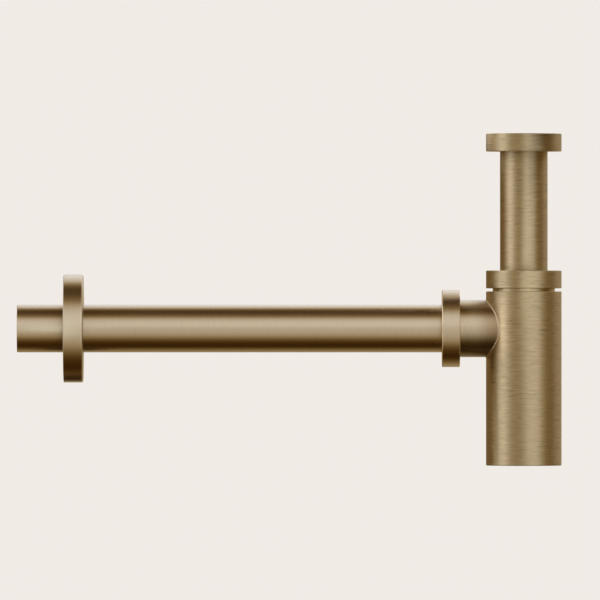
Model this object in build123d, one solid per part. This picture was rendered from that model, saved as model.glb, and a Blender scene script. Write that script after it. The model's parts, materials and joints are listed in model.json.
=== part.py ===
"""Round bottle trap for a wash basin, in turned and brushed brass.

A union nut hangs the trap from the basin waste. Its inlet tube dips into a straight cylindrical body,
which holds the water seal and is emptied through a screwed base plug. A side spigot takes the wall pipe,
and a deep round flange covers the hole in the wall.

The origin is the centre of the inlet seat, the top of the gasket in the union nut. +Z is up along the
inlet's axis, and the wall pipe runs along -X. All sizes are in millimetres.
"""

import os

from build123d import *

# Inlet tube and wall pipe
TUBE_OD = 32.0  # the 1 1/4 inch waste size
TUBE_WALL = 1.2
TUBE_END_BREAK = 0.3  # chamfer on the cut ends
PIPE_LENGTH = 300.0
TUBE_FLANGE = 1.6  # thickness of the collar that hangs in the union nut
GASKET = 2.4  # thickness of the flat washer on that collar

# Stacking along the inlet's axis
TUBE_SHOWING = 80.0  # between the union nut and the neck nut
NECK_GAP = 2.0  # daylight between the neck nut and the body
BODY_HEIGHT = 117.0
OUTLET_BELOW_TOP = 25.0  # body's top to the outlet's axis
DIP_BELOW_OUTLET = 73.0  # outlet's axis to the tube's lower end

# Stacking along the outlet's axis
OUTLET_REACH = 43.0  # inlet's axis to the outlet nut
PIPE_ENTRY = 14.5  # length of pipe inside the outlet nut and spigot
PIPE_STOP = 1.6  # ledge that stops the pipe, outside the body's wall
FLANGE_FROM_END = 31.3  # pipe's wall end to the flange's rim

# Walls
BODY_WALL = 2.0
TOP_PLATE = 3.0
NECK_WALL = 3.0  # between the tube's guide and the root of the neck's thread
SPIGOT_WALL = 1.8  # the same at the spigot
NUT_WALL = 4.22  # outside the thread of the union and neck nuts
OUTLET_NUT_WALL = 6.5  # the same at the outlet nut
EDGE_BREAK = 0.4  # chamfer on the turned rims
SOLDER_FILLET = 0.7  # where the spigot meets the body

# Threads, modelled as plain cylinders at the root outside and at the major diameter inside
GAS_THREAD_DEPTH = 1.48  # 1 1/4 inch pipe thread, 11 to the inch
FINE_THREAD_DEPTH = 0.92  # 1.5 mm pitch, on the spigot and the base plug
THREAD_CLEARANCE = 0.2
LAND_IN_NUT = 0.8  # plain land that runs on into the nut

# Round nuts and what they press
NUT_HEIGHT = 12.0
NUT_LIP = 2.0
LIP_CLEARANCE = 0.3
MOUTH_CHAMFER = 0.8
POCKET_RELIEF = 0.4  # the union nut is wider round the gasket than in its thread
SEAT_CLEARANCE = 0.3  # gasket, collar and seal heads inside the threads
SLIP_RING = 1.2
SEAL_HEAD = 2.0
SEAL_TAPER = 3.0  # depth of the tapered part
SEAL_GRIP = 0.1  # gap between a seal and the tube it grips
MOUTH_FLARE = 1.0  # how far the neck's and the spigot's mouths open for the seals
GUIDE_CLEARANCE = 0.5  # tube in neck and spigot
GASKET_BORE_CLEARANCE = 0.4

# Base plug
PLUG_HEIGHT = 12.0
PLUG_FLOOR = 4.0
PLUG_RIM = 3.1
PLUG_HEAD = 1.5
PLUG_RECESS = 0.5  # its face sits inside the body's lower edge
PLUG_CLEARANCE = 0.3
PLUG_THREAD_LENGTH = 7.5
SLOT_WIDTH = 3.0
SLOT_LENGTH = 28.0
SLOT_DEPTH = 2.0

# Wall flange
FLANGE_OD = 72.5
FLANGE_DEPTH = 13.2
FLANGE_FACE = 2.5
FLANGE_RIM = 2.0
FLANGE_HUB_WALL = 2.2  # outside the ring groove
FLANGE_HUB_SHORT = 2.0  # the hub ends short of the rim
FLANGE_CLEARANCE = 0.25
FLANGE_CORNER = 1.0  # inside
FLANGE_ROUND = 1.2  # outside, on the front

# Round rubber rings in the base plug and in the flange
RING_SECTION = 1.9
RING_GAP = 0.06  # all round a ring in its groove
GROOVE_WIDTH = 2.4
PLUG_GROOVE_DOWN = 1.2  # top of the plug to its groove
FLANGE_GROOVE_IN = 5.0  # front of the flange to its groove

# Radii that follow
tube_radius = TUBE_OD / 2
tube_bore = tube_radius - TUBE_WALL
guide_bore = tube_radius + GUIDE_CLEARANCE
lip_bore = tube_radius + LIP_CLEARANCE
neck_root = guide_bore + NECK_WALL
neck_thread = neck_root + GAS_THREAD_DEPTH
spigot_root = guide_bore + SPIGOT_WALL
spigot_radius = spigot_root + FINE_THREAD_DEPTH
nut_radius = neck_thread + THREAD_CLEARANCE + NUT_WALL
outlet_nut_radius = spigot_radius + THREAD_CLEARANCE + OUTLET_NUT_WALL
body_radius = nut_radius
chamber_radius = body_radius - BODY_WALL
plug_radius = chamber_radius - PLUG_CLEARANCE
plug_bore = plug_radius + FINE_THREAD_DEPTH
seat_radius = neck_root - SEAT_CLEARANCE

# Heights and places that follow
nut_bottom = -(GASKET + TUBE_FLANGE + NUT_LIP)
neck_nut_bottom = nut_bottom - TUBE_SHOWING - NUT_HEIGHT
body_top = neck_nut_bottom - NECK_GAP
body_bottom = body_top - BODY_HEIGHT
outlet_level = body_top - OUTLET_BELOW_TOP
tube_bottom = outlet_level - DIP_BELOW_OUTLET
nut_mouth = NUT_HEIGHT - NUT_LIP - SLIP_RING - SEAL_HEAD  # neck's or spigot's end, from the nut's skirt
pipe_inner_end = OUTLET_REACH + NUT_HEIGHT - PIPE_ENTRY
pipe_wall_end = pipe_inner_end + PIPE_LENGTH
flange_front = pipe_wall_end - FLANGE_FROM_END - FLANGE_DEPTH
plug_bottom = body_bottom + PLUG_RECESS
plug_top = plug_bottom + PLUG_HEIGHT
plug_groove = plug_top - PLUG_GROOVE_DOWN - GROOVE_WIDTH / 2

# The outlet's own frame: its Z runs from the inlet's axis towards the wall
OUTLET = Plane(origin=(0, 0, outlet_level), x_dir=(0, 1, 0), z_dir=(-1, 0, 0))
NECK_NUT_SEAT = Plane(origin=(0, 0, neck_nut_bottom))
OUTLET_NUT_SEAT = OUTLET.offset(OUTLET_REACH)


def turned(outline):
    """Solid of revolution about Z from a closed outline of (radius, height) points."""
    return revolve(make_face(Plane.XZ * Polyline(*outline, close=True)), Axis.Z)


def rims(solid, radius):
    """The circular edges of that radius, lowest first."""
    circles = solid.edges().filter_by(GeomType.CIRCLE)
    return circles.filter_by(lambda edge: abs(edge.radius - radius) < 1e-4).sort_by(Axis.Z)


def ring(inner, outer, low, high):
    """Plain ring between two radii and two heights."""
    return turned([(inner, low), (outer, low), (outer, high), (inner, high)])


def tube(length):
    """The 1 1/4 inch tube, standing on Z = 0, with both cut ends broken."""
    return chamfer(ring(tube_bore, tube_radius, 0, length).edges(), TUBE_END_BREAK)


def round_nut(thread_bore, outer):
    """Plain round nut with its skirt's end on Z = 0 and its lip on top."""
    lip_inside = NUT_HEIGHT - NUT_LIP
    nut = turned(
        [
            (thread_bore, 0),
            (outer, 0),
            (outer, NUT_HEIGHT),
            (lip_bore, NUT_HEIGHT),
            (lip_bore, lip_inside),
            (thread_bore, lip_inside),
        ]
    )
    nut = chamfer(rims(nut, outer) + rims(nut, lip_bore), EDGE_BREAK)
    return chamfer(rims(nut, thread_bore)[0], MOUTH_CHAMFER)


def slip_ring(root):
    """Thin hard ring between a nut's lip and its seal, in the nut's frame."""
    top = NUT_HEIGHT - NUT_LIP
    return ring(lip_bore, root, top - SLIP_RING, top)


def tapered_seal(root):
    """Rubber ring whose taper is pressed into the mouth below it, in the nut's frame."""
    inner = tube_radius + SEAL_GRIP
    head_top = nut_mouth + SEAL_HEAD
    tip = nut_mouth - SEAL_TAPER
    return turned(
        [
            (inner, tip),
            (guide_bore - SEAL_GRIP, tip),
            (guide_bore + MOUTH_FLARE - SEAL_GRIP, nut_mouth),
            (root - SEAT_CLEARANCE, nut_mouth),
            (root - SEAT_CLEARANCE, head_top),
            (inner, head_top),
        ]
    )


def seal_mouth():
    """The guide bore and flared mouth of a neck or spigot, in the nut's frame, as the space to cut."""
    return turned(
        [
            (0, nut_mouth - SEAL_TAPER),
            (guide_bore, nut_mouth - SEAL_TAPER),
            (guide_bore + MOUTH_FLARE, nut_mouth),
            (0, nut_mouth),
        ]
    )


def union_nut():
    """The inlet's nut: a round nut upside down, with a wider pocket round the collar and gasket."""
    thread_bore = neck_thread + THREAD_CLEARANCE
    lip_inside = NUT_HEIGHT - NUT_LIP
    pocket = ring(lip_bore, thread_bore + POCKET_RELIEF, lip_inside - TUBE_FLANGE - GASKET, lip_inside)
    nut = round_nut(thread_bore, nut_radius) - pocket
    return Pos(0, 0, nut_bottom + NUT_HEIGHT) * Rot(180, 0, 0) * nut


def inlet_gasket():
    """Flat rubber washer on the tube's collar."""
    return ring(tube_bore + GASKET_BORE_CLEARANCE, seat_radius, -GASKET, 0)


def inlet_tube():
    """The dip tube with the collar that hangs in the union nut."""
    collar_top = -GASKET
    collar = ring(tube_bore, seat_radius, collar_top - TUBE_FLANGE, collar_top)
    return Pos(0, 0, tube_bottom) * tube(collar_top - tube_bottom) + collar


def trap_body():
    """Body, neck and side spigot, soldered into one piece."""
    neck_frame = Pos(0, 0, neck_nut_bottom)
    spigot_end = OUTLET_REACH + nut_mouth
    barrel = turned([(0, body_bottom), (body_radius, body_bottom), (body_radius, body_top), (0, body_top)])
    barrel = chamfer(rims(barrel, body_radius), EDGE_BREAK)
    land_top = neck_nut_bottom + LAND_IN_NUT
    neck = turned(
        [
            (0, outlet_level),
            (neck_thread, outlet_level),
            (neck_thread, land_top),
            (neck_root, land_top),
            (neck_root, neck_nut_bottom + nut_mouth),
            (0, neck_nut_bottom + nut_mouth),
        ]
    )
    spigot = OUTLET * turned(
        [
            (0, 0),
            (spigot_radius, 0),
            (spigot_radius, OUTLET_REACH + LAND_IN_NUT),
            (spigot_root, OUTLET_REACH + LAND_IN_NUT),
            (spigot_root, spigot_end),
            (0, spigot_end),
        ]
    )
    outside = barrel + spigot
    outside = fillet(new_edges(barrel, spigot, combined=outside), SOLDER_FILLET) + neck

    plug_shoulder = plug_bottom + PLUG_THREAD_LENGTH
    chamber = turned(
        [
            (0, body_bottom),
            (plug_bore, body_bottom),
            (plug_bore, plug_shoulder),
            (chamber_radius, plug_shoulder + plug_bore - chamber_radius),
            (chamber_radius, body_top - TOP_PLATE),
            (guide_bore, body_top - TOP_PLATE),
            (guide_bore, neck_nut_bottom + nut_mouth),
            (0, neck_nut_bottom + nut_mouth),
        ]
    )
    pipe_stop = body_radius + PIPE_STOP
    waterway = OUTLET * turned(
        [
            (0, 0),
            (tube_bore, 0),
            (tube_bore, pipe_stop),
            (guide_bore, pipe_stop),
            (guide_bore, spigot_end),
            (0, spigot_end),
        ]
    )
    return outside - chamber - waterway - neck_frame * seal_mouth() - OUTLET_NUT_SEAT * seal_mouth()


def base_plug():
    """Screwed cup that closes the body, with a coin slot underneath."""
    groove_floor = chamber_radius - RING_SECTION - 2 * RING_GAP
    plug = turned(
        [
            (0, plug_bottom),
            (plug_bore - THREAD_CLEARANCE, plug_bottom),
            (plug_bore - THREAD_CLEARANCE, plug_bottom + PLUG_HEAD),
            (plug_radius, plug_bottom + PLUG_HEAD),
            (plug_radius, plug_groove - GROOVE_WIDTH / 2),
            (groove_floor, plug_groove - GROOVE_WIDTH / 2),
            (groove_floor, plug_groove + GROOVE_WIDTH / 2),
            (plug_radius, plug_groove + GROOVE_WIDTH / 2),
            (plug_radius, plug_top),
            (plug_radius - PLUG_RIM, plug_top),
            (plug_radius - PLUG_RIM, plug_bottom + PLUG_FLOOR),
            (0, plug_bottom + PLUG_FLOOR),
        ]
    )
    plug = chamfer(rims(plug, plug_bore - THREAD_CLEARANCE)[0], EDGE_BREAK)
    slot = SlotOverall(SLOT_LENGTH, SLOT_WIDTH)
    return plug - Pos(0, 0, plug_bottom) * extrude(slot, SLOT_DEPTH)


def plug_ring():
    """Rubber ring in the plug's groove, against the body's bore."""
    return Pos(0, 0, plug_groove) * Torus(chamber_radius - RING_GAP - RING_SECTION / 2, RING_SECTION / 2)


def flange_groove_middle():
    """Height of the flange's ring above the flange's front."""
    return FLANGE_GROOVE_IN + GROOVE_WIDTH / 2


def wall_flange():
    """Deep hollow flange, front on Z = 0 of its frame, with a grooved hub that rides on the pipe."""
    rim_radius = FLANGE_OD / 2
    bore = tube_radius + FLANGE_CLEARANCE
    groove_floor = tube_radius + RING_SECTION + 2 * RING_GAP
    hub_radius = groove_floor + FLANGE_HUB_WALL
    hub_end = FLANGE_DEPTH - FLANGE_HUB_SHORT
    groove_low = flange_groove_middle() - GROOVE_WIDTH / 2
    groove_high = flange_groove_middle() + GROOVE_WIDTH / 2
    flange = turned(
        [
            (bore, 0),
            (rim_radius, 0),
            (rim_radius, FLANGE_DEPTH),
            (rim_radius - FLANGE_RIM, FLANGE_DEPTH),
            (rim_radius - FLANGE_RIM, FLANGE_FACE),
            (hub_radius, FLANGE_FACE),
            (hub_radius, hub_end),
            (bore, hub_end),
            (bore, groove_high),
            (groove_floor, groove_high),
            (groove_floor, groove_low),
            (bore, groove_low),
        ]
    )
    flange = fillet(rims(flange, rim_radius - FLANGE_RIM)[0], FLANGE_CORNER)
    flange = fillet(rims(flange, hub_radius)[0], FLANGE_CORNER)
    flange = fillet(rims(flange, rim_radius)[0], FLANGE_ROUND)
    flange = chamfer(rims(flange, rim_radius)[-1:] + rims(flange, bore)[:1], EDGE_BREAK)
    return OUTLET.offset(flange_front) * flange


def flange_ring():
    """Rubber ring that holds the flange where it is pushed on the pipe."""
    seat = OUTLET.offset(flange_front + flange_groove_middle())
    return seat * Torus(tube_radius + RING_GAP + RING_SECTION / 2, RING_SECTION / 2)


def pieces():
    """Every separate piece of the trap, by name."""
    return {
        "inlet_nut": union_nut(),
        "inlet_gasket": inlet_gasket(),
        "inlet_tube": inlet_tube(),
        "neck_nut": NECK_NUT_SEAT * round_nut(neck_thread + THREAD_CLEARANCE, nut_radius),
        "neck_slip_ring": NECK_NUT_SEAT * slip_ring(neck_root),
        "neck_seal": NECK_NUT_SEAT * tapered_seal(neck_root),
        "trap_body": trap_body(),
        "base_plug": base_plug(),
        "base_plug_ring": plug_ring(),
        "outlet_nut": OUTLET_NUT_SEAT * round_nut(spigot_radius + THREAD_CLEARANCE, outlet_nut_radius),
        "outlet_slip_ring": OUTLET_NUT_SEAT * slip_ring(spigot_root),
        "outlet_seal": OUTLET_NUT_SEAT * tapered_seal(spigot_root),
        "outlet_pipe": OUTLET.offset(pipe_inner_end) * tube(PIPE_LENGTH),
        "wall_flange": wall_flange(),
        "flange_ring": flange_ring(),
    }


os.makedirs("parts", exist_ok=True)
for name, piece in pieces().items():
    export_step(piece, f"parts/{name}.step")
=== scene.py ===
"""Looks of a round bottle trap in brushed brass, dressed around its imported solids.

The solids keep their shapes. This script gives every piece its finish, winds the screw threads that the
solids leave as plain walls, and sets up a pale studio. All sizes are in metres, in the solids' own frame.
"""

import json
import logging
import math
from dataclasses import dataclass, field, replace
from enum import Enum
from typing import ClassVar, Sequence, Union

import bmesh
import bpy
from mathutils import Matrix, Vector


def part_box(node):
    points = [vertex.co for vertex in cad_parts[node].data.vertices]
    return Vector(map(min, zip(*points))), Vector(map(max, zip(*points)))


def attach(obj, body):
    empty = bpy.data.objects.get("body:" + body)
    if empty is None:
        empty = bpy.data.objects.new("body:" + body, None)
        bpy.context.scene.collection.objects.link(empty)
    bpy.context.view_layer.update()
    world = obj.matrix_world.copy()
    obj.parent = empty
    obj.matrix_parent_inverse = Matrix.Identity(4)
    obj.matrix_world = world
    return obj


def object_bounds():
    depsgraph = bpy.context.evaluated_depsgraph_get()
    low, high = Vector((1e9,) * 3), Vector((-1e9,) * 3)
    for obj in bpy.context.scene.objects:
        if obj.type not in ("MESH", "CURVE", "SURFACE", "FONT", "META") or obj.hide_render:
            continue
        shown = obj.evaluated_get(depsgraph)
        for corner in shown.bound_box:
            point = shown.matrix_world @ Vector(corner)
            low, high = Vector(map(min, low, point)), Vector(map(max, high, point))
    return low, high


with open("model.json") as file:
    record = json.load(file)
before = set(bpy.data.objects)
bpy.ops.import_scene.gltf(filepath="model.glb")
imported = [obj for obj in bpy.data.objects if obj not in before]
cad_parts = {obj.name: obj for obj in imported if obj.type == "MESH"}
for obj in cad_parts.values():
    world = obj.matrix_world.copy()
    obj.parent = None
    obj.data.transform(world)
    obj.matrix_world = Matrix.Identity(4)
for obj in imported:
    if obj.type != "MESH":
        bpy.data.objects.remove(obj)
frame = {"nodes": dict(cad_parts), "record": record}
CAD_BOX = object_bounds()

LOG = logging.getLogger("bottle_trap")
INCH = 0.0254
MM_PER_M = 1000
NOISE_MIDDLE = 0.5
BODY_MARGIN = 0.00015  # how far outside the body's wall the spigot's finish begins

Material = bpy.types.Material
Socket = bpy.types.NodeSocket
Colour = tuple[float, float, float, float]
Value = Union[Socket, float, Sequence[float]]


class NodeBench:
    """Adds nodes to one node tree and wires them up."""

    def __init__(self, tree: bpy.types.NodeTree) -> None:
        """Keeps the tree to work on."""
        self.tree = tree

    def node(self, kind: str, **settings: object) -> bpy.types.Node:
        """Adds a node.

        Args:
            kind: The node's type name.
            settings: Properties to set on it.

        Returns:
            The new node.
        """
        made = self.tree.nodes.new(kind)
        for key, value in settings.items():
            setattr(made, key, value)
        return made

    def feed(self, socket: Socket, value: Value) -> None:
        """Links a socket to another one, or sets its own value."""
        if isinstance(value, Socket):
            self.tree.links.new(value, socket)
        else:
            socket.default_value = value

    def fill(self, node: bpy.types.Node, values: dict[str, Value]) -> None:
        """Links or sets a node's inputs by their names."""
        for name, value in values.items():
            self.feed(node.inputs[name], value)

    def fed(self, made: bpy.types.Node, values: Sequence[Value]) -> Socket:
        """Fills a node's inputs in order, and gives its first output."""
        for socket, value in zip(made.inputs, values):
            self.feed(socket, value)
        return made.outputs[0]

    def math(self, operation: str, *values: Value) -> Socket:
        """Adds a Math node.

        Args:
            operation: The node's operation.
            values: What goes into its inputs, in order.

        Returns:
            Its result.
        """
        return self.fed(self.node("ShaderNodeMath", operation=operation), values)

    def vector(self, operation: str, *values: Value) -> Socket:
        """The same with a Vector Math node that puts out a vector."""
        return self.fed(self.node("ShaderNodeVectorMath", operation=operation), values)

    def scaled(self, vector: Value, factor: Value) -> Socket:
        """A vector or colour times a number."""
        made = self.node("ShaderNodeVectorMath", operation="SCALE")
        self.fill(made, {"Vector": vector, "Scale": factor})
        return made.outputs["Vector"]

    def parts(self, vector: Value) -> tuple[Socket, ...]:
        """The X, Y and Z of a vector."""
        made = self.node("ShaderNodeSeparateXYZ")
        self.feed(made.inputs["Vector"], vector)
        return tuple(made.outputs)

    def joined(self, x: Value, y: Value, z: Value) -> Socket:
        """A vector from its X, Y and Z."""
        return self.fed(self.node("ShaderNodeCombineXYZ"), (x, y, z))

    def noise(self, vector: Value, detail: float) -> Socket:
        """Noise of size one on a vector, from 0 to 1 about its middle."""
        made = self.node("ShaderNodeTexNoise")
        self.fill(made, {"Vector": vector, "Scale": 1.0, "Detail": detail})
        return made.outputs["Fac"]

    def ramp(self, value: Value, low: float, high: float) -> Socket:
        """A smooth step from 0 at low to 1 at high."""
        made = self.node("ShaderNodeMapRange", interpolation_type="SMOOTHSTEP")
        self.fill(made, {"Value": value, "From Min": low, "From Max": high})
        return made.outputs["Result"]

    def chosen(self, share: Value, first: Value, second: Value) -> Socket:
        """The first vector where the share is 0, the second where it is 1."""
        made = self.node("ShaderNodeMix", data_type="VECTOR")
        self.feed(made.inputs["Factor"], share)
        vectors = [socket for socket in made.inputs if socket.type == "VECTOR"]
        self.feed(vectors[-2], first)
        self.feed(vectors[-1], second)
        return next(socket for socket in made.outputs if socket.type == "VECTOR")

    def off_axis(self, point: Value) -> Socket:
        """How far a point is from the Z axis."""
        made = self.node("ShaderNodeVectorMath", operation="LENGTH")
        self.feed(made.inputs["Vector"], self.vector("MULTIPLY", point, (1.0, 1.0, 0.0)))
        return made.outputs["Value"]

    def blend(self, share: Value, first: Value, second: Value) -> Socket:
        """The first shader where the share is 0, the second where it is 1."""
        return self.fed(self.node("ShaderNodeMixShader"), (share, first, second))


class Lay(Enum):
    """Which way a turned piece's axis lies."""

    UPRIGHT = "upright"
    LEVEL = "level"


@dataclass(frozen=True)
class TurningAxis:
    """The axis that a piece was turned, threaded and brushed about.

    Attributes:
        lay: The inlet's upright axis, or the outlet's level one.
        height: Height of a level axis.
    """

    lay: Lay
    height: float = 0.0

    @property
    def place(self) -> Matrix:
        """Takes a shape wound about Z to this axis. A level axis runs towards the wall."""
        if self.lay is Lay.UPRIGHT:
            return Matrix.Identity(4)
        turn = Matrix(((0, 0, -1), (1, 0, 0), (0, -1, 0))).to_4x4()
        return Matrix.Translation((0, 0, self.height)) @ turn

    def point(self, bench: NodeBench) -> Socket:
        """Object coordinates with this axis turned to Z."""
        home = self.place.inverted()
        coordinates = bench.node("ShaderNodeTexCoord")
        mapping = bench.node("ShaderNodeMapping", vector_type="POINT")
        moved = {"Location": home.to_translation(), "Rotation": home.to_euler()}
        bench.fill(mapping, {"Vector": coordinates.outputs["Object"], **moved})
        return mapping.outputs["Vector"]

    def slope(self, bench: NodeBench) -> Socket:
        """How far a surface faces along this axis: 0 on a turned wall, 1 on an end face."""
        parts = bench.parts(bench.node("ShaderNodeTexCoord").outputs["Normal"])
        return bench.math("ABSOLUTE", parts[2] if self.lay is Lay.UPRIGHT else parts[0])

    def round_about(self, bench: NodeBench, point: Socket) -> Socket:
        """The way round this axis at a point, as an object vector.

        Args:
            bench: The material's bench.
            point: The point with this axis turned to Z.

        Returns:
            The vector along the brush lines.
        """
        x, y, _ = bench.parts(point)
        lines = bench.joined(bench.math("MULTIPLY", y, -1.0), x, 0.0)
        mapping = bench.node("ShaderNodeMapping", vector_type="VECTOR")
        bench.fill(mapping, {"Vector": lines, "Rotation": self.place.to_euler()})
        return mapping.outputs["Vector"]


class SharedGroup:
    """A shader node group that materials share, which makes numbers from a point and other numbers."""

    NAME: ClassVar[str]
    NUMBERS: ClassVar[tuple[str, ...]]  # its inputs besides the point
    RESULTS: ClassVar[tuple[str, ...]]

    def __init__(self) -> None:
        """Builds the group."""
        self.tree = bpy.data.node_groups.new(self.NAME, "ShaderNodeTree")
        self.socket("Point", "INPUT", "NodeSocketVector")
        for name in self.NUMBERS:
            self.socket(name, "INPUT", "NodeSocketFloat")
        for name in self.RESULTS:
            self.socket(name, "OUTPUT", "NodeSocketFloat")
        self.wire(NodeBench(self.tree))

    def socket(self, name: str, direction: str, kind: str) -> None:
        """Adds one socket to the group."""
        self.tree.interface.new_socket(name=name, in_out=direction, socket_type=kind)

    def wire(self, bench: NodeBench) -> None:
        """Makes the group's nodes."""
        raise NotImplementedError


class TurnedGrain(SharedGroup):
    """Fine broken lines round an axis, as a brush leaves them on a lathe."""

    NAME = "turned_grain"
    NUMBERS = ("Streak", "Line", "Contrast")
    RESULTS = ("Tone", "Haze", "Height")
    RING_RATIO = 1.3  # lines on an end face are this much closer than on a wall
    MOTTLE = 0.016  # size of the soft patches
    FINE = (0.4, 0.35)  # length and width of the fine lines, as shares of the coarse ones'
    SPARSE = (1.2, 0.6)  # the same for the single lines
    BRIGHT = (0.66, 0.80)  # noise from which a single line is bright, and at which it is brightest
    DARK = (0.34, 0.22)  # the same for a dark one
    LINES_TONE = 0.6  # what fine and coarse lines add to the tone
    MOTTLE_TONE = 0.35
    BRIGHT_TONE = 0.4
    DARK_TONE = -0.5
    FINE_RELIEF = 0.5  # height of the fine lines, as a share of the coarse ones'

    def wire(self, bench: NodeBench) -> None:
        """Makes the group's nodes."""
        given = bench.node("NodeGroupInput").outputs
        x, y, z = bench.parts(given["Point"])
        along = bench.math("MULTIPLY_ADD", bench.off_axis(given["Point"]), self.RING_RATIO, z)

        def lines(length: float, width: float, detail: float) -> Socket:
            """Noise stretched round the axis, from shares of the streak's length and the line's width."""
            streak = bench.math("MULTIPLY", given["Streak"], length)
            line = bench.math("MULTIPLY", given["Line"], width)
            stretched = bench.joined(
                bench.math("DIVIDE", x, streak),
                bench.math("DIVIDE", y, streak),
                bench.math("DIVIDE", along, line),
            )
            return bench.noise(stretched, detail)

        coarse = bench.math("SUBTRACT", lines(1.0, 1.0, 1.0), NOISE_MIDDLE)
        fine = bench.math("SUBTRACT", lines(*self.FINE, 1.0), NOISE_MIDDLE)
        sparse = lines(*self.SPARSE, 0.0)
        bright = bench.ramp(sparse, *self.BRIGHT)
        dark = bench.ramp(sparse, *self.DARK)
        mottle = bench.noise(bench.scaled(given["Point"], 1 / self.MOTTLE), 2.0)
        mottle = bench.math("SUBTRACT", mottle, NOISE_MIDDLE)

        tone = bench.math("MULTIPLY", bench.math("ADD", fine, coarse), self.LINES_TONE)
        tone = bench.math("MULTIPLY_ADD", mottle, self.MOTTLE_TONE, tone)
        tone = bench.math("MULTIPLY_ADD", bright, self.BRIGHT_TONE, tone)
        tone = bench.math("MULTIPLY_ADD", dark, self.DARK_TONE, tone)
        out = bench.node("NodeGroupOutput").inputs
        bench.feed(out["Tone"], bench.math("MULTIPLY_ADD", tone, given["Contrast"], 1.0))
        bench.feed(out["Haze"], bench.math("ADD", fine, mottle))
        relief = bench.math("MULTIPLY_ADD", fine, self.FINE_RELIEF, coarse)
        bench.feed(out["Height"], bench.math("MULTIPLY", relief, given["Contrast"]))


class PaintedEdgeHighlight(SharedGroup):
    """Painted highlight along the broken edges between walls and end faces, in patches, and a weaker one on
    the end faces.
    """

    NAME = "painted_edge_highlight"
    NUMBERS = ("Slope", "Highlight")
    RESULTS = ("Tone",)
    PATCH = 0.006  # length over which the painted highlight comes and goes
    WALL = (0.15, 0.45)  # slopes over which a wall turns into an edge
    FACE = (0.93, 0.99)  # slopes over which an edge turns into an end face
    FACE_HIGHLIGHT = 0.7  # how bright the painted highlight on an end face is, beside the one on an edge

    def wire(self, bench: NodeBench) -> None:
        """Makes the group's nodes."""
        given = bench.node("NodeGroupInput").outputs
        leaves_wall = bench.ramp(given["Slope"], *self.WALL)
        end_face = bench.ramp(given["Slope"], *self.FACE)
        patches = bench.noise(bench.scaled(given["Point"], 1 / self.PATCH), 1.0)
        # painted highlight on the broken edges, in patches, and a weaker one on the end faces
        painted_edge_light = bench.math("MULTIPLY", leaves_wall, bench.math("SUBTRACT", 1.0, end_face))
        painted_edge_light = bench.math("MULTIPLY", painted_edge_light, bench.math("ADD", patches, 1 - NOISE_MIDDLE))
        painted_edge_light = bench.math("MULTIPLY_ADD", end_face, self.FACE_HIGHLIGHT, painted_edge_light)
        out = bench.node("NodeGroupOutput").inputs
        bench.feed(out["Tone"], bench.math("MULTIPLY_ADD", painted_edge_light, given["Highlight"], 1.0))


def new_material(name: str) -> tuple[Material, NodeBench, bpy.types.Node]:
    """Starts a node material.

    Args:
        name: The material's name.

    Returns:
        The material, a bench for its nodes, and its Principled node.
    """
    material = bpy.data.materials.new(name)
    material.use_nodes = True
    return material, NodeBench(material.node_tree), material.node_tree.nodes["Principled BSDF"]


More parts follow.
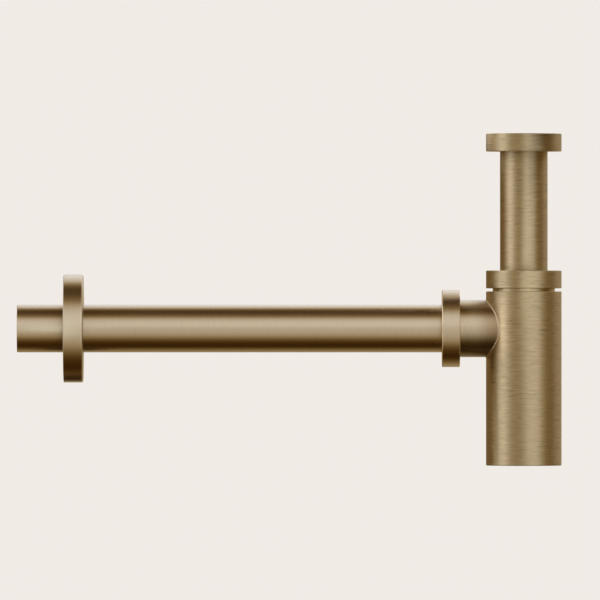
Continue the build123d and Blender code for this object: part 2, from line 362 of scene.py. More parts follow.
@dataclass(frozen=True)
class BrushedBrass:
    """Bronze-toned brass, brushed round its axis on a lathe.

    Attributes:
        colour: Colour of the metal.
        roughness: Its mean roughness.
        haze: How far the lines change the roughness.
        anisotropy: How much wider a highlight is across the lines than along them.
        streak: Length of a line.
        line: Width of a line.
        contrast: How much lighter or darker a line is.
        relief: Depth of the lines.
        edge_highlight: How much brighter its broken edges and end faces are painted, as a highlight.
    """

    QUARTER_TURN: ClassVar[float] = 0.25  # turns a highlight's long way across the lines

    colour: Colour = (0.46, 0.350, 0.198, 1.0)
    roughness: float = 0.42
    haze: float = 0.08
    anisotropy: float = 0.98
    streak: float = 0.0075
    line: float = 0.0011
    contrast: float = 0.5
    relief: float = 0.00001
    edge_highlight: float = 0.0

    def material(
        self,
        name: str,
        grain: TurnedGrain,
        edge: PaintedEdgeHighlight,
        axis: TurningAxis,
        branch: "Branch | None" = None,
    ) -> Material:
        """Makes the finish for pieces about one axis, or for a body with a branch about another.

        Args:
            name: The material's name.
            grain: The shared group of brush lines.
            edge: The shared group of painted edge highlights.
            axis: The piece's axis.
            branch: The body's branch.

        Returns:
            The material.
        """
        material, bench, metal = new_material(name)
        point = axis.point(bench)
        lines = axis.round_about(bench, point)
        slope = axis.slope(bench)
        colour: Value = self.colour[:3]
        contrast: Value = self.contrast
        roughness: Value = self.roughness
        haze: Value = self.haze
        tint: Value = 1.0
        if branch:
            reach = bench.off_axis(point)
            beyond = bench.math("GREATER_THAN", reach, branch.starts)
            within = bench.math("LESS_THAN", reach, branch.starts - branch.step)
            side_point = branch.axis.point(bench)
            lines = bench.chosen(beyond, lines, branch.axis.round_about(bench, side_point))
            point = bench.chosen(beyond, point, side_point)
            # painted shade on the spigot's underside
            below = bench.ramp(bench.parts(side_point)[1], 0.0, branch.underside_shade_depth)
            shade_below = bench.math("MULTIPLY", below, beyond)
            tint = bench.math("MULTIPLY_ADD", shade_below, -branch.underside_shade, 1.0)
            # painted highlight on the body beside the joint
            tint = bench.math("MULTIPLY", tint, branch.joint_highlight(bench, reach, side_point))
            turned = bench.math("SUBTRACT", branch.axis.slope(bench), slope)
            slope = bench.math("MULTIPLY_ADD", beyond, turned, slope)
            colour = bench.chosen(beyond, colour, branch.finish.colour[:3])
            # painted shade on the spigot towards its joint with the body
            colour = bench.vector("MULTIPLY", colour, branch.joint_shade(bench, reach))
            contrast = bench.math("MULTIPLY_ADD", beyond, branch.finish.contrast - self.contrast, contrast)
            haze = bench.math("MULTIPLY_ADD", beyond, branch.finish.haze - self.haze, haze)
            roughness = bench.math("MULTIPLY_ADD", beyond, branch.roughness - self.roughness, roughness)
            roughness = bench.math("MULTIPLY_ADD", within, branch.land_roughness - self.roughness, roughness)
        group = bench.node("ShaderNodeGroup", node_tree=grain.tree)
        bench.fill(group, {"Point": point, "Contrast": contrast, "Streak": self.streak, "Line": self.line})
        bump = bench.node("ShaderNodeBump")
        bench.fill(bump, {"Strength": 1.0, "Distance": self.relief, "Height": group.outputs["Height"]})
        to_world = bench.node(
            "ShaderNodeVectorTransform", vector_type="VECTOR", convert_from="OBJECT", convert_to="WORLD"
        )
        bench.feed(to_world.inputs["Vector"], lines)

        # painted highlight on the broken edges and end faces
        painted_edge_light = bench.node("ShaderNodeGroup", node_tree=edge.tree)
        bench.fill(painted_edge_light, {"Point": point, "Slope": slope, "Highlight": self.edge_highlight})
        tone = bench.math("MULTIPLY", group.outputs["Tone"], painted_edge_light.outputs["Tone"])
        # painted shade and painted highlight around the spigot
        tone = bench.math("MULTIPLY", tone, tint)
        inputs = {
            "Base Color": bench.scaled(colour, tone),
            "Roughness": bench.math("MULTIPLY_ADD", group.outputs["Haze"], haze, roughness),
            "Normal": bump.outputs["Normal"],
            "Tangent": bench.vector("NORMALIZE", to_world.outputs["Vector"]),
            "Metallic": 1.0,
            "Anisotropic": self.anisotropy,
            "Anisotropic Rotation": self.QUARTER_TURN,
        }
        bench.fill(metal, inputs)
        return material


@dataclass(frozen=True)
class Branch:
    """A spigot on the side of a body, finished about its own axis.

    Attributes:
        axis: The spigot's axis.
        starts: Distance from the body's axis at which the spigot begins.
        step: How far inside that distance the body's neck and its inside are.
        radius: The spigot's radius.
        finish: Its brass.
        roughness: Its mean roughness.
        land_roughness: Roughness of the neck and the inside, which aren't brushed.
        underside_shade: How much darker the spigot's underside is painted, as shade.
        underside_shade_depth: How far below its axis that painted shade is full.
        joint_shade_colour: What the painted shade near the joint leaves of the spigot's red, green and blue.
        joint_shade_reach: How far from the joint that painted shade begins.
        fillet: Width of the bright solder, which the painted shade leaves out.
        dressed: How much brighter the body is painted beside the joint, as a highlight.
        joint_highlight_reach: How far from the spigot's wall that painted highlight goes.
        facing: How far towards the spigot that painted highlight begins and is full, as shares of starts.
    """

    axis: TurningAxis
    starts: float
    radius: float
    finish: BrushedBrass
    roughness: float = 0.28
    step: float = 0.0015
    land_roughness: float = 0.24
    # painted shade on the spigot's underside
    underside_shade: float = 0.5
    underside_shade_depth: float = 0.010
    # painted shade on the spigot near its joint with the body
    joint_shade_colour: tuple[float, float, float] = (0.60, 0.52, 0.43)
    joint_shade_reach: float = 0.014
    fillet: float = 0.001
    # strength of the painted highlight on the body beside the joint
    dressed: float = 0.35
    joint_highlight_reach: float = 0.013
    facing: tuple[float, float] = (0.3, 0.7)

    def joint_shade(self, bench: NodeBench, reach: Socket) -> Socket:
        """Painted shade on the spigot, which deepens towards its joint with the body.

        Args:
            bench: The material's bench.
            reach: Distance from the body's axis.

        Returns:
            What the colour is multiplied by.
        """
        near = bench.ramp(reach, self.starts + self.joint_shade_reach, self.starts)
        outside = bench.ramp(reach, self.starts, self.starts + self.fillet)
        return bench.chosen(bench.math("MULTIPLY", near, outside), (1.0, 1.0, 1.0), self.joint_shade_colour)

    def joint_highlight(self, bench: NodeBench, reach: Socket, point: Socket) -> Socket:
        """The painted highlight on the body beside the joint.

        Args:
            bench: The material's bench.
            reach: Distance from the body's axis.
            point: The point with the spigot's axis turned to Z.

        Returns:
            What the tone is multiplied by.
        """
        beside = bench.ramp(bench.off_axis(point), self.radius + self.joint_highlight_reach, self.radius)
        facing = bench.ramp(bench.parts(point)[2], *(share * self.starts for share in self.facing))
        on_body = bench.math("LESS_THAN", reach, self.starts)
        zone = bench.math("MULTIPLY", bench.math("MULTIPLY", beside, facing), on_body)
        return bench.math("MULTIPLY_ADD", zone, self.dressed, 1.0)


@dataclass(frozen=True)
class MouldedPlain:
    """A moulded rubber or plastic with a fine skin.

    Attributes:
        colour: Its colour.
        pale: The lighter colour of its bloom.
        roughness: Its mean roughness.
        haze: How far the skin changes the roughness.
        grain: Size of the skin's texture.
        relief: Depth of that texture.
    """

    GRAIN_SHARE: ClassVar[float] = 0.1  # size of the grain, as a share of the bloom's patches
    BLOOM: ClassVar[tuple[float, float]] = (0.35, 0.75)  # noise from which it shows, and at which it is full

    colour: Colour
    pale: Colour
    roughness: float
    haze: float
    grain: float
    relief: float

    def material(self, name: str) -> Material:
        """Makes the finish under that name."""
        material, bench, skin = new_material(name)
        coordinates = bench.node("ShaderNodeTexCoord").outputs["Object"]
        texture = bench.noise(bench.scaled(coordinates, 1 / self.grain), 3.0)
        patches = bench.noise(bench.scaled(coordinates, self.GRAIN_SHARE / self.grain), 2.0)
        colour = bench.chosen(bench.ramp(patches, *self.BLOOM), self.colour[:3], self.pale[:3])
        roughness = bench.math("MULTIPLY_ADD", texture, self.haze, self.roughness)
        bump = bench.node("ShaderNodeBump")
        bench.fill(bump, {"Distance": self.relief, "Height": texture})
        bench.fill(skin, {"Base Color": colour, "Roughness": roughness, "Normal": bump.outputs["Normal"]})
        return material


UPRIGHT_BRASS = BrushedBrass()
LEVEL_BRASS = BrushedBrass(
    colour=(0.46, 0.362, 0.240, 1.0),
    roughness=0.26,
    haze=0.02,
    anisotropy=0.6,
    contrast=0.08,
    # painted highlight on the level pieces' broken edges and end faces
    edge_highlight=0.6,
)
WALL_BRASS = replace(LEVEL_BRASS, edge_highlight=0.0)
BLACK_RUBBER = MouldedPlain(
    colour=(0.018, 0.018, 0.019, 1.0),
    pale=(0.034, 0.033, 0.032, 1.0),
    roughness=0.55,
    haze=0.2,
    grain=0.0006,
    relief=0.00003,
)
WHITE_NYLON = MouldedPlain(
    colour=(0.74, 0.72, 0.66, 1.0),
    pale=(0.80, 0.78, 0.73, 1.0),
    roughness=0.38,
    haze=0.12,
    grain=0.0009,
    relief=0.00001,
)


@dataclass(frozen=True)
class Finishes:
    """The materials that the pieces are dressed in."""

    upright_brass: Material
    level_brass: Material
    wall_brass: Material
    body_brass: Material
    rubber: Material
    nylon: Material

    def brass(self, lay: Lay) -> Material:
        """The brass for a piece whose axis lies that way."""
        return self.upright_brass if lay is Lay.UPRIGHT else self.level_brass


def dress_node(name: str, material: Material) -> None:
    """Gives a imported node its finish."""
    materials = frame["nodes"][name].data.materials
    for index in range(len(materials)):
        materials[index] = material
    LOG.info("dressed %s in %s", name, material.name)


@dataclass(frozen=True)
class ThreadForm:
    """A screw thread's section.

    Attributes:
        pitch: Advance in one turn.
        depth: Height of the ridge.
        foot: Half the ridge's width at its foot, as a share of the pitch.
        crest: Half its width at its crest, as a share of the pitch.
    """

    pitch: float
    depth: float
    foot: float = 0.44
    crest: float = 0.05


GAS_THREAD = ThreadForm(pitch=INCH / 11, depth=0.00148)  # 11 turns to the inch
FINE_THREAD = ThreadForm(pitch=0.0015, depth=0.00092)
CUT_DOWN_THREAD = ThreadForm(pitch=0.0015, depth=0.0006, crest=0.18)  # lets a sealing ring pass it


def mesh_object(name: str, mesh: bmesh.types.BMesh) -> bpy.types.Object:
    """Turns a bmesh into an object in the scene, and frees it."""
    data = bpy.data.meshes.new(name)
    mesh.to_mesh(data)
    mesh.free()
    made = bpy.data.objects.new(name, data)
    bpy.context.scene.collection.objects.link(made)
    return made


class Side(Enum):
    """Which side of a wall a thread stands on."""

    MALE = 1
    FEMALE = -1


@dataclass
class ThreadRidge:
    """One screw thread, a ridge wound on a wall.

    Attributes:
        name: The piece's name.
        body: The body it moves with.
        form: Its section.
        side: Outside a wall or inside one.
        axis: What it is wound about.
        wall: Radius of the wall.
        start: Where it begins along the axis.
        end: Where it stops.
        datum: A place that both halves of a screwed joint measure their helix from.
    """

    name: str
    body: str
    form: ThreadForm
    side: Side
    axis: TurningAxis
    wall: float
    start: float
    end: float
    datum: float
    steps_per_turn: int = 72
    runout_steps: int = 8  # over which each end sinks into the wall
    rooting: float = 0.00015  # how deep the foot sits in the wall
    crest_relief: float = 0.00008  # so that the crest clears the other half's root
    crest_slack: float = 0.02  # how near the crest's radius its corners are, as a share of the depth
    sharp_angle: float = math.radians(25)  # edges from here on are shaded sharp

    def build(self) -> bpy.types.Object:
        """Winds the ridge and puts it in place.

        Returns:
            The ridge's object, riding on its body.
        """
        mesh = bmesh.new()
        step = 2 * math.pi / self.steps_per_turn
        rise = self.form.pitch / self.steps_per_turn
        outward = self.side.value
        foot = self.wall - outward * self.rooting
        crest = self.wall + outward * (self.form.depth - self.crest_relief)
        foot_half = self.form.foot * self.form.pitch
        crest_half = self.form.crest * self.form.pitch
        first = self.start + foot_half
        steps = int((self.end - self.start - 2 * foot_half) / rise)
        half_turn = 0.0 if self.side is Side.MALE else 0.5
        angle = 2 * math.pi * ((first - self.datum) / self.form.pitch - half_turn)
        section = ((foot, -foot_half), (crest, -crest_half), (crest, crest_half), (foot, foot_half))
        corners = [mesh.verts.new((radius, 0, first + height)) for radius, height in section]
        edges = [mesh.edges.new((corners[k - 1], corners[k])) for k in range(len(corners))]
        bmesh.ops.rotate(mesh, verts=corners, matrix=Matrix.Rotation(angle, 3, "Z"))

        wound = bmesh.ops.spin(
            mesh,
            geom=corners + edges,
            axis=(0, 0, 1),
            dvec=(0, 0, rise),
            angle=step * steps,
            steps=steps,
        )
        last = [item for item in wound["geom_last"] if isinstance(item, bmesh.types.BMEdge)]
        shrink = (foot / crest) ** (1 / self.runout_steps)
        self.run_out(mesh, last, step, rise, crest, shrink)
        self.run_out(mesh, edges, -step, -rise, crest, shrink)
        bmesh.ops.recalc_face_normals(mesh, faces=mesh.faces)
        bmesh.ops.transform(mesh, matrix=self.axis.place, verts=mesh.verts)
        return self.finished(mesh)

    def run_out(
        self,
        mesh: bmesh.types.BMesh,
        ring: Sequence[bmesh.types.BMEdge],
        step: float,
        rise: float,
        crest: float,
        shrink: float,
    ) -> None:
        """Lets the ridge sink into its wall at one end and closes it there.

        Args:
            mesh: The ridge so far.
            ring: The edges of its end section.
            step: Turn of each step.
            rise: Advance of each step.
            crest: The full crest's radius.
            shrink: What the crest's radius is multiplied by at each step.
        """
        turn = Matrix.Rotation(step, 3, "Z")
        slack = self.form.depth * self.crest_slack
        radius = crest
        for _ in range(self.runout_steps):
            grown = bmesh.ops.extrude_edge_only(mesh, edges=ring)["geom"]
            ring = [item for item in grown if isinstance(item, bmesh.types.BMEdge)]
            verts = [item for item in grown if isinstance(item, bmesh.types.BMVert)]
            ring = [edge for edge in ring if all(vert in verts for vert in edge.verts)]
            bmesh.ops.rotate(mesh, verts=verts, matrix=turn)
            bmesh.ops.translate(mesh, verts=verts, vec=(0, 0, rise))
            crests = [vert for vert in verts if abs(vert.co.xy.length - radius) < slack]
            bmesh.ops.scale(mesh, verts=crests, vec=(shrink, shrink, 1))
            radius *= shrink
        bmesh.ops.contextual_create(mesh, geom=ring)

    def finished(self, mesh: bmesh.types.BMesh) -> bpy.types.Object:
        """Turns the bmesh into a smooth-shaded piece that rides on its body."""
        piece = mesh_object(self.name, mesh)
        piece.data.shade_smooth()
        piece.data.set_sharp_from_angle(angle=self.sharp_angle)
        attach(piece, self.body)
        return piece


def dress_piece(piece: bpy.types.Object, material: Material) -> None:
    """Gives a piece made here its finish."""
    piece.data.materials.append(material)
    LOG.info("made %s with %d faces, in %s", piece.name, len(piece.data.polygons), material.name)


@dataclass
class Screwed:
    """What the sub-assemblies share: threads to wind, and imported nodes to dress.

    Attributes:
        axis: What it is turned about.
        threads: Its threads.
    """

    axis: TurningAxis = TurningAxis(Lay.UPRIGHT)
    threads: list[ThreadRidge] = field(default_factory=list)

    def build(self) -> list[bpy.types.Object]:
        """Winds this sub-assembly's threads."""
        return [thread.build() for thread in self.threads]

    def dress(self, pieces: list[bpy.types.Object], finishes: Finishes) -> None:
        """Puts brass on the threads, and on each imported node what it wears."""
        for piece in pieces:
            dress_piece(piece, finishes.brass(self.axis.lay))
        for node, material in self.wear(finishes).items():
            dress_node(node, material)

    def wear(self, finishes: Finishes) -> dict[str, Material]:
        """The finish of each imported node."""
        raise NotImplementedError


@dataclass
class InletUnion(Screwed):
    """The union nut, its gasket and the dip tube that hangs in it."""

    end_gap: float = 0.0003  # bare wall at each end of the thread

    def __post_init__(self) -> None:
        """Places the nut's thread from the inlet's mount."""
        mount = next(m for m in frame["record"]["mounts"] if m["name"] == "inlet_thread")
        length = mount["dims"]["length_mm"] / MM_PER_M
        self.threads.append(
            ThreadRidge(
                name="inlet_nut_thread",
                body="inlet_nut",
                form=GAS_THREAD,
                side=Side.FEMALE,
                axis=self.axis,
                wall=mount["dims"]["r_mm"] / MM_PER_M,
                start=self.end_gap,
                end=length - self.end_gap,
                datum=0.0,
            )
        )

    def wear(self, finishes: Finishes) -> dict[str, Material]:
        """Brass for the nut and the tube, and rubber for the gasket."""
        return {
            "inlet_nut": finishes.upright_brass,
            "inlet_tube": finishes.upright_brass,
            "inlet_gasket": finishes.rubber,
        }


@dataclass
class CompressionJoint(Screwed):
    """A round nut that presses a slip ring and a tapered seal on a threaded mouth.

    Attributes:
        place: The word that the names of its pieces start with.
        mouth: Name of its male thread.
        form: Its thread.
        land: How far the plain land of the mouth reaches into the nut.
        clearance: The gap between the two threads.
        overlap: How far short of the slip ring the threads end, as a share of the seal's length.
    """

    place: str = "neck"
    mouth: str = "neck_thread"
    form: ThreadForm = GAS_THREAD
    land: float = 0.0008
    clearance: float = 0.0002
    overlap: float = 0.4

    def __post_init__(self) -> None:
        """Places both threads from the nut, the slip ring and the seal."""
        skirt = self.along(f"{self.place}_nut")[0]
        seal_low, seal_high = self.along(f"{self.place}_seal")
        slip_low = self.along(f"{self.place}_slip_ring")[0]
        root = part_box(f"{self.place}_slip_ring")[1].y
        head = slip_low - (seal_high - seal_low) * self.overlap
        start = skirt + self.land + self.clearance
        shared = {"form": self.form, "axis": self.axis, "start": start, "end": head, "datum": start}
        male = ThreadRidge(name=self.mouth, body="trap_body", side=Side.MALE, wall=root, **shared)
        female = ThreadRidge(
            name=f"{self.place}_nut_thread",
            body=f"{self.place}_nut",
            side=Side.FEMALE,
            wall=root + self.form.depth + self.clearance,
            **shared,
        )
        self.threads += [male, female]

    def along(self, node: str) -> tuple[float, float]:
        """Where a node begins and ends along this joint's axis."""
        home = self.axis.place.inverted()
        ends = [(home @ corner).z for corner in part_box(node)]
        return min(ends), max(ends)

    def wear(self, finishes: Finishes) -> dict[str, Material]:
        """Brass for the nut, nylon for the slip ring and rubber for the seal."""
        return {
            f"{self.place}_nut": finishes.brass(self.axis.lay),
            f"{self.place}_slip_ring": finishes.nylon,
            f"{self.place}_seal": finishes.rubber,
        }


@dataclass
class TrapBarrel(Screwed):
    """The body with its neck and spigot, and the screwed plug that closes it underneath."""

    clearance: float = 0.0002  # between the plug's head and the thread's root in the body
    head: float = 0.0015  # height of the plug's head
    end_gap: float = 0.0003  # between the head and the threads, and twice that before the ring

    def __post_init__(self) -> None:
        """Places the plug's thread and the body's from the plug and its ring."""
        plug_low, plug_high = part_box("base_plug")
        ring_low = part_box("base_plug_ring")[0]
        bore = plug_high.x + self.clearance
        start = plug_low.z + self.head + self.end_gap
        shared = {
            "form": FINE_THREAD,
            "axis": self.axis,
            "start": start,
            "end": ring_low.z - 2 * self.end_gap,
            "datum": start,
        }
        plug = ThreadRidge(
            name="base_plug_thread",
            body="base_plug",
            side=Side.MALE,
            wall=bore - FINE_THREAD.depth,
            **shared,
        )
        shared["form"] = CUT_DOWN_THREAD
        shared["end"] -= FINE_THREAD.pitch / 2
        seat = ThreadRidge(name="body_base_thread", body="trap_body", side=Side.FEMALE, wall=bore, **shared)
        self.threads += [plug, seat]

    def wear(self, finishes: Finishes) -> dict[str, Material]:
        """Brass for the body and the plug, and rubber for the ring."""
        return {
            "trap_body": finishes.body_brass,
            "base_plug": finishes.upright_brass,
            "base_plug_ring": finishes.rubber,
        }


@dataclass
class WallOutlet(Screwed):
    """The wall pipe, and the deep flange that slides on it."""

    def wear(self, finishes: Finishes) -> dict[str, Material]:
        """Brass for the pipe and the flange, and rubber for the flange's ring."""
        return {
            "outlet_pipe": finishes.wall_brass,
            "wall_flange": finishes.wall_brass,
            "flange_ring": finishes.rubber,
        }


@dataclass(frozen=True)
class LightSweep:
    """How bright the studio is by angle.

    Attributes:
        stops: (degrees, level) pairs, joined smoothly, as far below 0 as above it.
        ceiling: A level that none of them passes.
    """

    stops: tuple[tuple[float, float], ...]
    ceiling: float = 2.0

    def level(self, bench: NodeBench, angle: Socket) -> Socket:
        """The level at an angle.

        Args:
            bench: The world's bench.
            angle: The angle, in radians.

        Returns:
            The level there.
        """
        span = self.stops[-1][0] - self.stops[0][0]
        middle = 0.5
        curve = bench.node("ShaderNodeFloatCurve")
        points = curve.mapping.curves[0].points
        while len(points) < len(self.stops):
            points.new(middle, middle)
        for point, (degrees, level) in zip(points, self.stops):
            point.location = (degrees / span + middle, level / self.ceiling)
            point.handle_type = "AUTO_CLAMPED"
        curve.mapping.update()
        share = bench.math("MULTIPLY_ADD", angle, math.degrees(1) / span, middle)
        bench.feed(curve.inputs["Value"], share)
        return bench.math("MULTIPLY", curve.outputs["Value"], self.ceiling)


def round_disc(name: str, radius: float, sides: int, place: Matrix) -> bpy.types.Object:
    """Makes a round disc for the stage.

    Args:
        name: Its name.
        radius: Its radius.
        sides: How many sides its rim has.
        place: Takes it to its place from the origin, where it lies level.

    Returns:
        The disc's object.
    """
    disc = bmesh.new()
    bmesh.ops.create_circle(disc, cap_ends=True, radius=radius, segments=sides)
    bmesh.ops.transform(disc, matrix=place, verts=disc.verts)
    return mesh_object(name, disc)


@dataclass(frozen=True)
class StudioCard:
    """A small round card close to the trap, which only the metal's reflections show.

    Attributes:
        name: Its name.
        centre: Where it stands.
        faces: The place that it is turned to.
        radius: How far it reaches. It fades out towards its rim.
        colour: Its colour.
    """

    SIDES: ClassVar[int] = 48
    FULL: ClassVar[float] = 0.2  # share of the radius within which it doesn't fade

    name: str
    centre: tuple[float, float, float]
    faces: tuple[float, float, float]
    radius: float
    colour: Colour

    def stand(self) -> None:
        """Stands the card in its place."""
        centre = Vector(self.centre)
        turn = (Vector(self.faces) - centre).to_track_quat("Z", "Y").to_matrix()
        place = Matrix.Translation(centre) @ turn.to_4x4()
        card = round_disc(self.name, self.radius, self.SIDES, place)
        card.data.materials.append(self.finish())
        card.visible_camera = False
        card.visible_diffuse = False
        card.visible_shadow = False

    def finish(self) -> Material:
        """Makes the card's glow, which fades out towards its rim."""
        material, bench, _ = new_material(self.name)
        away = bench.node("ShaderNodeVectorMath", operation="DISTANCE")
        bench.feed(away.inputs[0], bench.node("ShaderNodeTexCoord").outputs["Object"])
        away.inputs[1].default_value = self.centre
        glow = bench.node("ShaderNodeEmission")
        glow.inputs["Color"].default_value = self.colour
        clear = bench.node("ShaderNodeBsdfTransparent")
        share = bench.ramp(away.outputs["Value"], self.radius, self.FULL * self.radius)
        faded = bench.blend(share, clear.outputs["BSDF"], glow.outputs["Emission"])
        bench.feed(material.node_tree.nodes["Material Output"].inputs["Surface"], faded)
        return material


@dataclass
class Studio:
    """Pale floor and background, soft light, and the camera.

    Attributes:
        outlet: The outlet's axis.
        backdrop: Colour behind the trap.
        front: Light level by height, in front of the trap, from straight below to straight above.
        rear: The same behind it.
        turn_over: Sine of the angle before and behind the trap's side in which front passes into rear.
        about: How the level changes round the trap. 0 is the front, and the wall pipe points to -90.
        warmth: Powers of the level below full light for red, green and blue: the light warms as it fades.
        full_light: The level from which it warms no more.
        floor_paint: The floor's colour, which looks like the backdrop in this light.
        floor_roughness: The paint's roughness.
        floor_drop: How far the floor is below the trap.
        floor_radius: How far it reaches.
        floor_fade: Shares of that between which it passes into the backdrop.
        lamp_size: How wide the lamp is.
        lamp_power: Its power in watts.
        lamp_offset: Where it hangs, from the middle of the trap.
        camera_distance: From the inlet's axis.
        aim_left: The middle of the picture, left of the inlet's axis.
        aim_up: The same, above the outlet's axis.
        view_width: What the picture takes in at that distance.
        cards: The cards close to the trap.
    """

    FLOOR_SIDES: ClassVar[int] = 96

    outlet: TurningAxis
    backdrop: Colour = (0.8796, 0.8308, 0.7913, 1.0)
    front: LightSweep = LightSweep(
        (
            (-90, 0.04), (-65, 0.13), (-50, 0.35), (-35, 0.67), (-18, 0.90), (0, 1.02),
            (20, 1.25), (35, 1.15), (50, 0.77), (65, 0.26), (80, 0.07), (90, 0.05),
        )
    )
    rear: LightSweep = LightSweep(
        (
            (-90, 0.04), (-78, 0.10), (-65, 0.27), (-45, 0.52), (-15, 0.60), (0, 0.68),
            (15, 1.00), (32, 1.50), (50, 1.40), (65, 0.75), (78, 0.22), (90, 0.05),
        )
    )
    turn_over: float = 0.5
    about: LightSweep = LightSweep(
        (
            (-180, 0.95), (-160, 0.38), (-128, 0.38), (-105, 0.74), (-75, 1.50), (-50, 0.95), (-25, 0.70),
            (0, 0.95), (27, 1.38), (60, 0.74), (90, 0.33), (125, 0.72), (155, 0.80), (180, 0.95),
        )
    )
    warmth: tuple[float, float, float] = (0.0, 0.30, 1.0)
    full_light: float = 1.15
    floor_paint: Colour = (0.69, 0.665, 0.655, 1.0)
    floor_roughness: float = 0.9
    floor_drop: float = 0.30
    floor_radius: float = 1.6
    floor_fade: tuple[float, float] = (0.25, 0.75)
    lamp_size: float = 1.6
    lamp_power: float = 40.0
    lamp_offset: tuple[float, float, float] = (0.5, -1.2, 1.9)
    camera_distance: float = 9.0
    aim_left: float = 0.1504
    aim_up: float = 0.0192
    view_width: float = 0.4032
    cards: tuple[StudioCard, ...] = (
        StudioCard(
            name="dim_card", centre=(0.046, -0.039, 0.036), faces=(0.0, 0.0, 0.036),
            radius=0.065, colour=(0.10, 0.07, 0.03, 1.0),
        ),
        StudioCard(
            name="light_card", centre=(-0.055, 0.022, 0.040), faces=(0.0, 0.0, 0.040),
            radius=0.060, colour=(1.5, 1.5, 1.5, 1.0),
        ),
        StudioCard(
            name="flange_card", centre=(-0.303, 0.018, -0.190), faces=(-0.303, 0.0, -0.125),
            radius=0.035, colour=(0.06, 0.03, 0.01, 1.0),
        ),
        StudioCard(
            name="front_card", centre=(0.010, -0.070, -0.096), faces=(0.0, 0.0, -0.096),
            radius=0.042, colour=(1.62, 1.70, 1.80, 1.0),
        ),
        StudioCard(
            name="wall_card", centre=(-0.322, -0.075, -0.122), faces=(-0.322, 0.0, -0.122),
            radius=0.036, colour=(1.25, 1.38, 1.45, 1.0),
        ),
    )

    def build(self) -> None:
        """Sets up the whole studio."""
        bpy.context.scene.view_settings.view_transform = "Standard"
        self.light_world()
        self.lay_floor()
        self.hang_lamp()
        for card in self.cards:
            card.stand()
        self.set_camera()

    def light_world(self) -> None:
        """Wraps the trap in soft light, and shows the camera the plain backdrop."""
        world = bpy.data.worlds.new("studio")
        world.use_nodes = True
        bpy.context.scene.world = world
        bench = NodeBench(world.node_tree)
        x, y, z = bench.parts(bench.node("ShaderNodeTexCoord").outputs["Generated"])
        ahead = bench.math("MULTIPLY", y, -1.0)
        height = bench.math("ARCSINE", z)
        front = self.front.level(bench, height)
        rear = self.rear.level(bench, height)
        about = self.about.level(bench, bench.math("ARCTAN2", x, ahead))
        flatness = bench.math("COSINE", height)
        about = bench.math("MULTIPLY_ADD", bench.math("SUBTRACT", about, 1.0), flatness, 1.0)
        behind = bench.ramp(y, -self.turn_over, self.turn_over)
        front = bench.math("MULTIPLY", front, bench.math("SUBTRACT", 1.0, behind))
        level = bench.math("MULTIPLY", bench.math("MULTIPLY_ADD", rear, behind, front), about)
        faded = bench.math("MINIMUM", level, self.full_light)
        tint = bench.joined(*(bench.math("POWER", faded, power) for power in self.warmth))
        light = bench.scaled(tint, level)

        lit = world.node_tree.nodes["Background"]
        bench.feed(lit.inputs["Color"], light)
        plain = bench.node("ShaderNodeBackground")
        plain.inputs["Color"].default_value = self.backdrop
        by_camera = bench.node("ShaderNodeLightPath").outputs["Is Camera Ray"]
        seen = bench.blend(by_camera, lit.outputs["Background"], plain.outputs["Background"])
        bench.feed(world.node_tree.nodes["World Output"].inputs["Surface"], seen)

    def lay_floor(self) -> None:
        """Lays a pale round floor whose rim melts into the backdrop."""
        low, high = CAD_BOX
        centre = (low + high) / 2
        place = Matrix.Translation((centre.x, centre.y, low.z - self.floor_drop))
        floor = round_disc("floor", self.floor_radius, self.FLOOR_SIDES, place)
        floor.data.materials.append(self.floor_finish(centre))
        floor.visible_glossy = False

    def floor_finish(self, centre: Vector) -> Material:
        """The floor's pale matt paint, which fades to the backdrop away from the trap.

        Args:
            centre: The middle of the trap.

        Returns:
            The material.
        """
        material, bench, paint = new_material("pale_floor")
        matt = {"Roughness": self.floor_roughness, "Specular IOR Level": 0.0}
        bench.fill(paint, {"Base Color": self.floor_paint, **matt})
        coordinates = bench.node("ShaderNodeTexCoord").outputs["Object"]
        away = bench.off_axis(bench.vector("SUBTRACT", coordinates, (centre.x, centre.y, 0.0)))
        fade = bench.ramp(away, *(share * self.floor_radius for share in self.floor_fade))
        plain = bench.node("ShaderNodeEmission")
        plain.inputs["Color"].default_value = self.backdrop
        rim = bench.blend(fade, paint.outputs["BSDF"], plain.outputs["Emission"])
        clear = bench.node("ShaderNodeBsdfTransparent")
        from_below = bench.node("ShaderNodeNewGeometry").outputs["Backfacing"]
        seen = bench.blend(from_below, rim, clear.outputs["BSDF"])
        bench.feed(material.node_tree.nodes["Material Output"].inputs["Surface"], seen)
        return material

    def hang_lamp(self) -> None:
        """Hangs one large soft lamp, for the floor's shadow and the unpolished pieces."""
        low, high = CAD_BOX
        target = (low + high) / 2
        lamp = bpy.data.lights.new("soft_lamp", "AREA")
        lamp.shape = "DISK"
        lamp.size = self.lamp_size
        lamp.energy = self.lamp_power
        hung = bpy.data.objects.new("soft_lamp", lamp)
        hung.location = target + Vector(self.lamp_offset)
        hung.rotation_euler = (target - hung.location).to_track_quat("-Z", "Y").to_euler()
        hung.visible_glossy = False
        bpy.context.scene.collection.objects.link(hung)

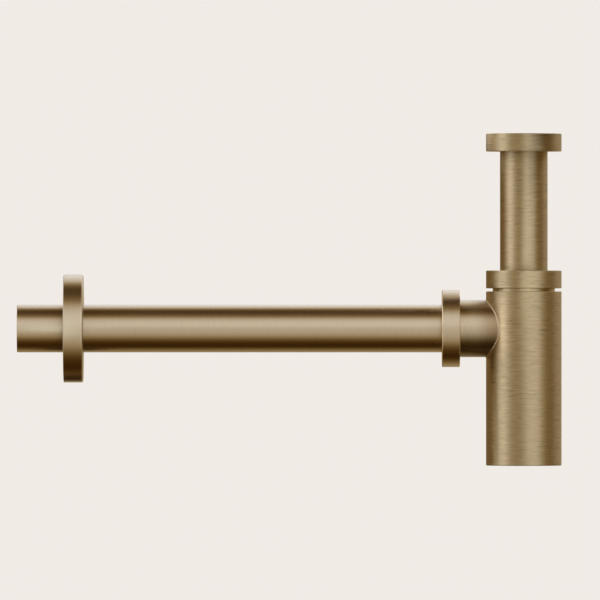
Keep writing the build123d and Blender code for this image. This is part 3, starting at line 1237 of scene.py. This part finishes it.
    def set_camera(self) -> None:
        """Stands the camera far off, straight in front of the middle of the trap."""
        data = bpy.data.cameras.new("camera")
        data.lens = data.sensor_width * self.camera_distance / self.view_width
        camera = bpy.data.objects.new("camera", data)
        camera.location = (-self.aim_left, -self.camera_distance, self.outlet.height + self.aim_up)
        camera.rotation_euler = (math.pi / 2, 0.0, 0.0)
        bpy.context.scene.collection.objects.link(camera)
        bpy.context.scene.camera = camera


def make_finishes(inlet: TurningAxis, outlet: TurningAxis) -> Finishes:
    """Makes every material once.

    Args:
        inlet: The upright axis.
        outlet: The level axis.

    Returns:
        The finishes.
    """
    grain = TurnedGrain()
    edge = PaintedEdgeHighlight()
    spigot = Branch(
        axis=outlet,
        starts=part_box("neck_nut")[1].x + BODY_MARGIN,
        radius=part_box("outlet_slip_ring")[1].y + FINE_THREAD.depth,
        finish=LEVEL_BRASS,
    )
    return Finishes(
        upright_brass=UPRIGHT_BRASS.material("upright_brass", grain, edge, inlet),
        level_brass=LEVEL_BRASS.material("level_brass", grain, edge, outlet),
        wall_brass=WALL_BRASS.material("wall_brass", grain, edge, outlet),
        body_brass=UPRIGHT_BRASS.material("body_brass", grain, edge, inlet, spigot),
        rubber=BLACK_RUBBER.material("black_rubber_skin"),
        nylon=WHITE_NYLON.material("white_nylon_skin"),
    )


def main() -> None:
    """Builds and dresses the sub-assemblies in order, then sets up the studio."""
    logging.basicConfig(level=logging.INFO, format="%(name)s: %(message)s")
    pipe_low, pipe_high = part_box("outlet_pipe")
    inlet = TurningAxis(Lay.UPRIGHT)
    outlet = TurningAxis(Lay.LEVEL, (pipe_low.z + pipe_high.z) / 2)
    finishes = make_finishes(inlet, outlet)
    assemblies = (
        InletUnion(),
        CompressionJoint(),
        TrapBarrel(),
        CompressionJoint(place="outlet", mouth="spigot_thread", axis=outlet, form=FINE_THREAD),
        WallOutlet(),
    )
    for assembly in assemblies:
        pieces = assembly.build()
        assembly.dress(pieces, finishes)
    Studio(outlet).build()


if __name__ == "__main__":
    main()
